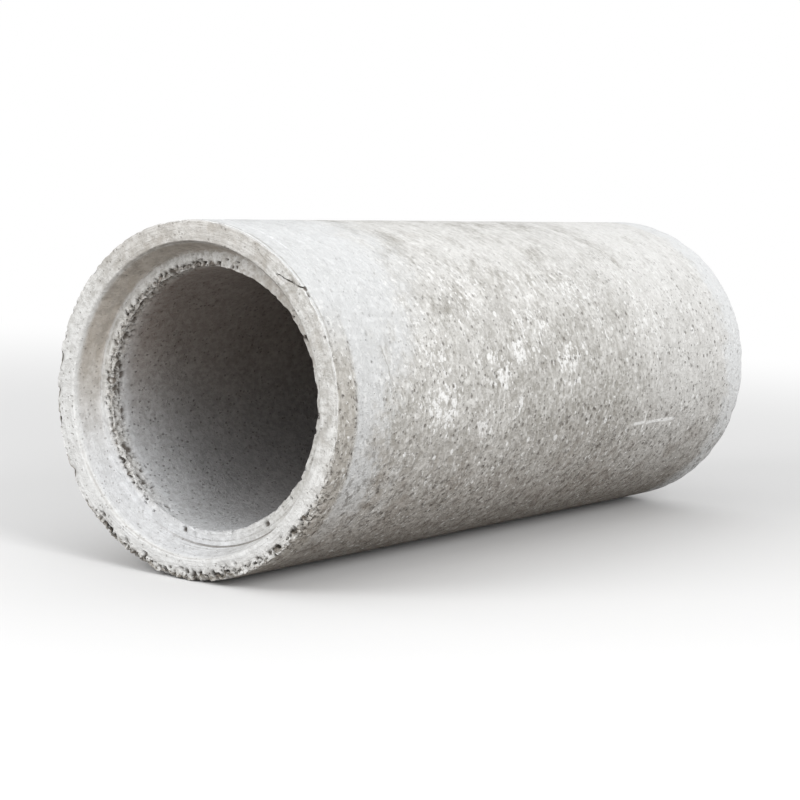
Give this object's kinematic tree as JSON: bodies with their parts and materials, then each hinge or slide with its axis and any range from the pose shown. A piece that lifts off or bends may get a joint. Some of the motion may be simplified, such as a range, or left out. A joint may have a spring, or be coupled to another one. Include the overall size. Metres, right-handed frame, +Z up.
{
  "type": "concrete sewer pipe",
  "caption": "Straight precast concrete drain pipe, lying on its barrel, with a tapered groove in one end and a matching tongue on the other.",
  "frame": {"origin": "on the floor, under the middle of the pipe's whole length", "axes": "+Y along the pipe's axis, from the groove end to the tongue end; +Z up"},
  "size_m": [0.4099, 1.03, 0.41],
  "materials": {
    "concrete": "matte cast concrete, mottled warm grey, with fine air holes"
  },
  "bodies": {
    "root": {"pipe": "concrete"}
  },
  "joints": []
}
